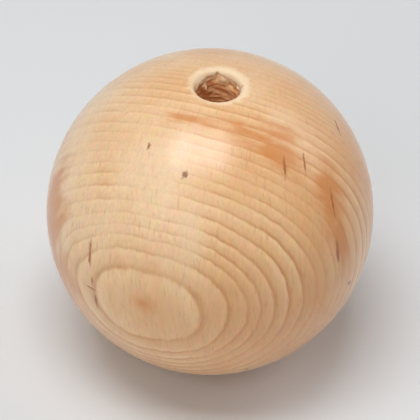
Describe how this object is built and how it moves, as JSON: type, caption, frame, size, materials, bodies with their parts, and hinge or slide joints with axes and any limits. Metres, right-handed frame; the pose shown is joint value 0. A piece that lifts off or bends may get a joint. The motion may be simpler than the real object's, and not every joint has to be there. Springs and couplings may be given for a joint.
{
  "type": "wooden bead",
  "caption": "Turned ball of pale wood with a cord hole drilled right through it along the grain and worn round at its mouths.",
  "frame": {"origin": "centre of the ball, halfway along the cord hole", "axes": "+Z along the cord hole; +X and +Y complete a right-handed frame, and the body is round about Z"},
  "size_m": [0.04, 0.04, 0.0394],
  "materials": {
    "wood": "clear satin lacquer over pale close-grained wood"
  },
  "bodies": {
    "root": {"bead": "wood"}
  },
  "joints": []
}
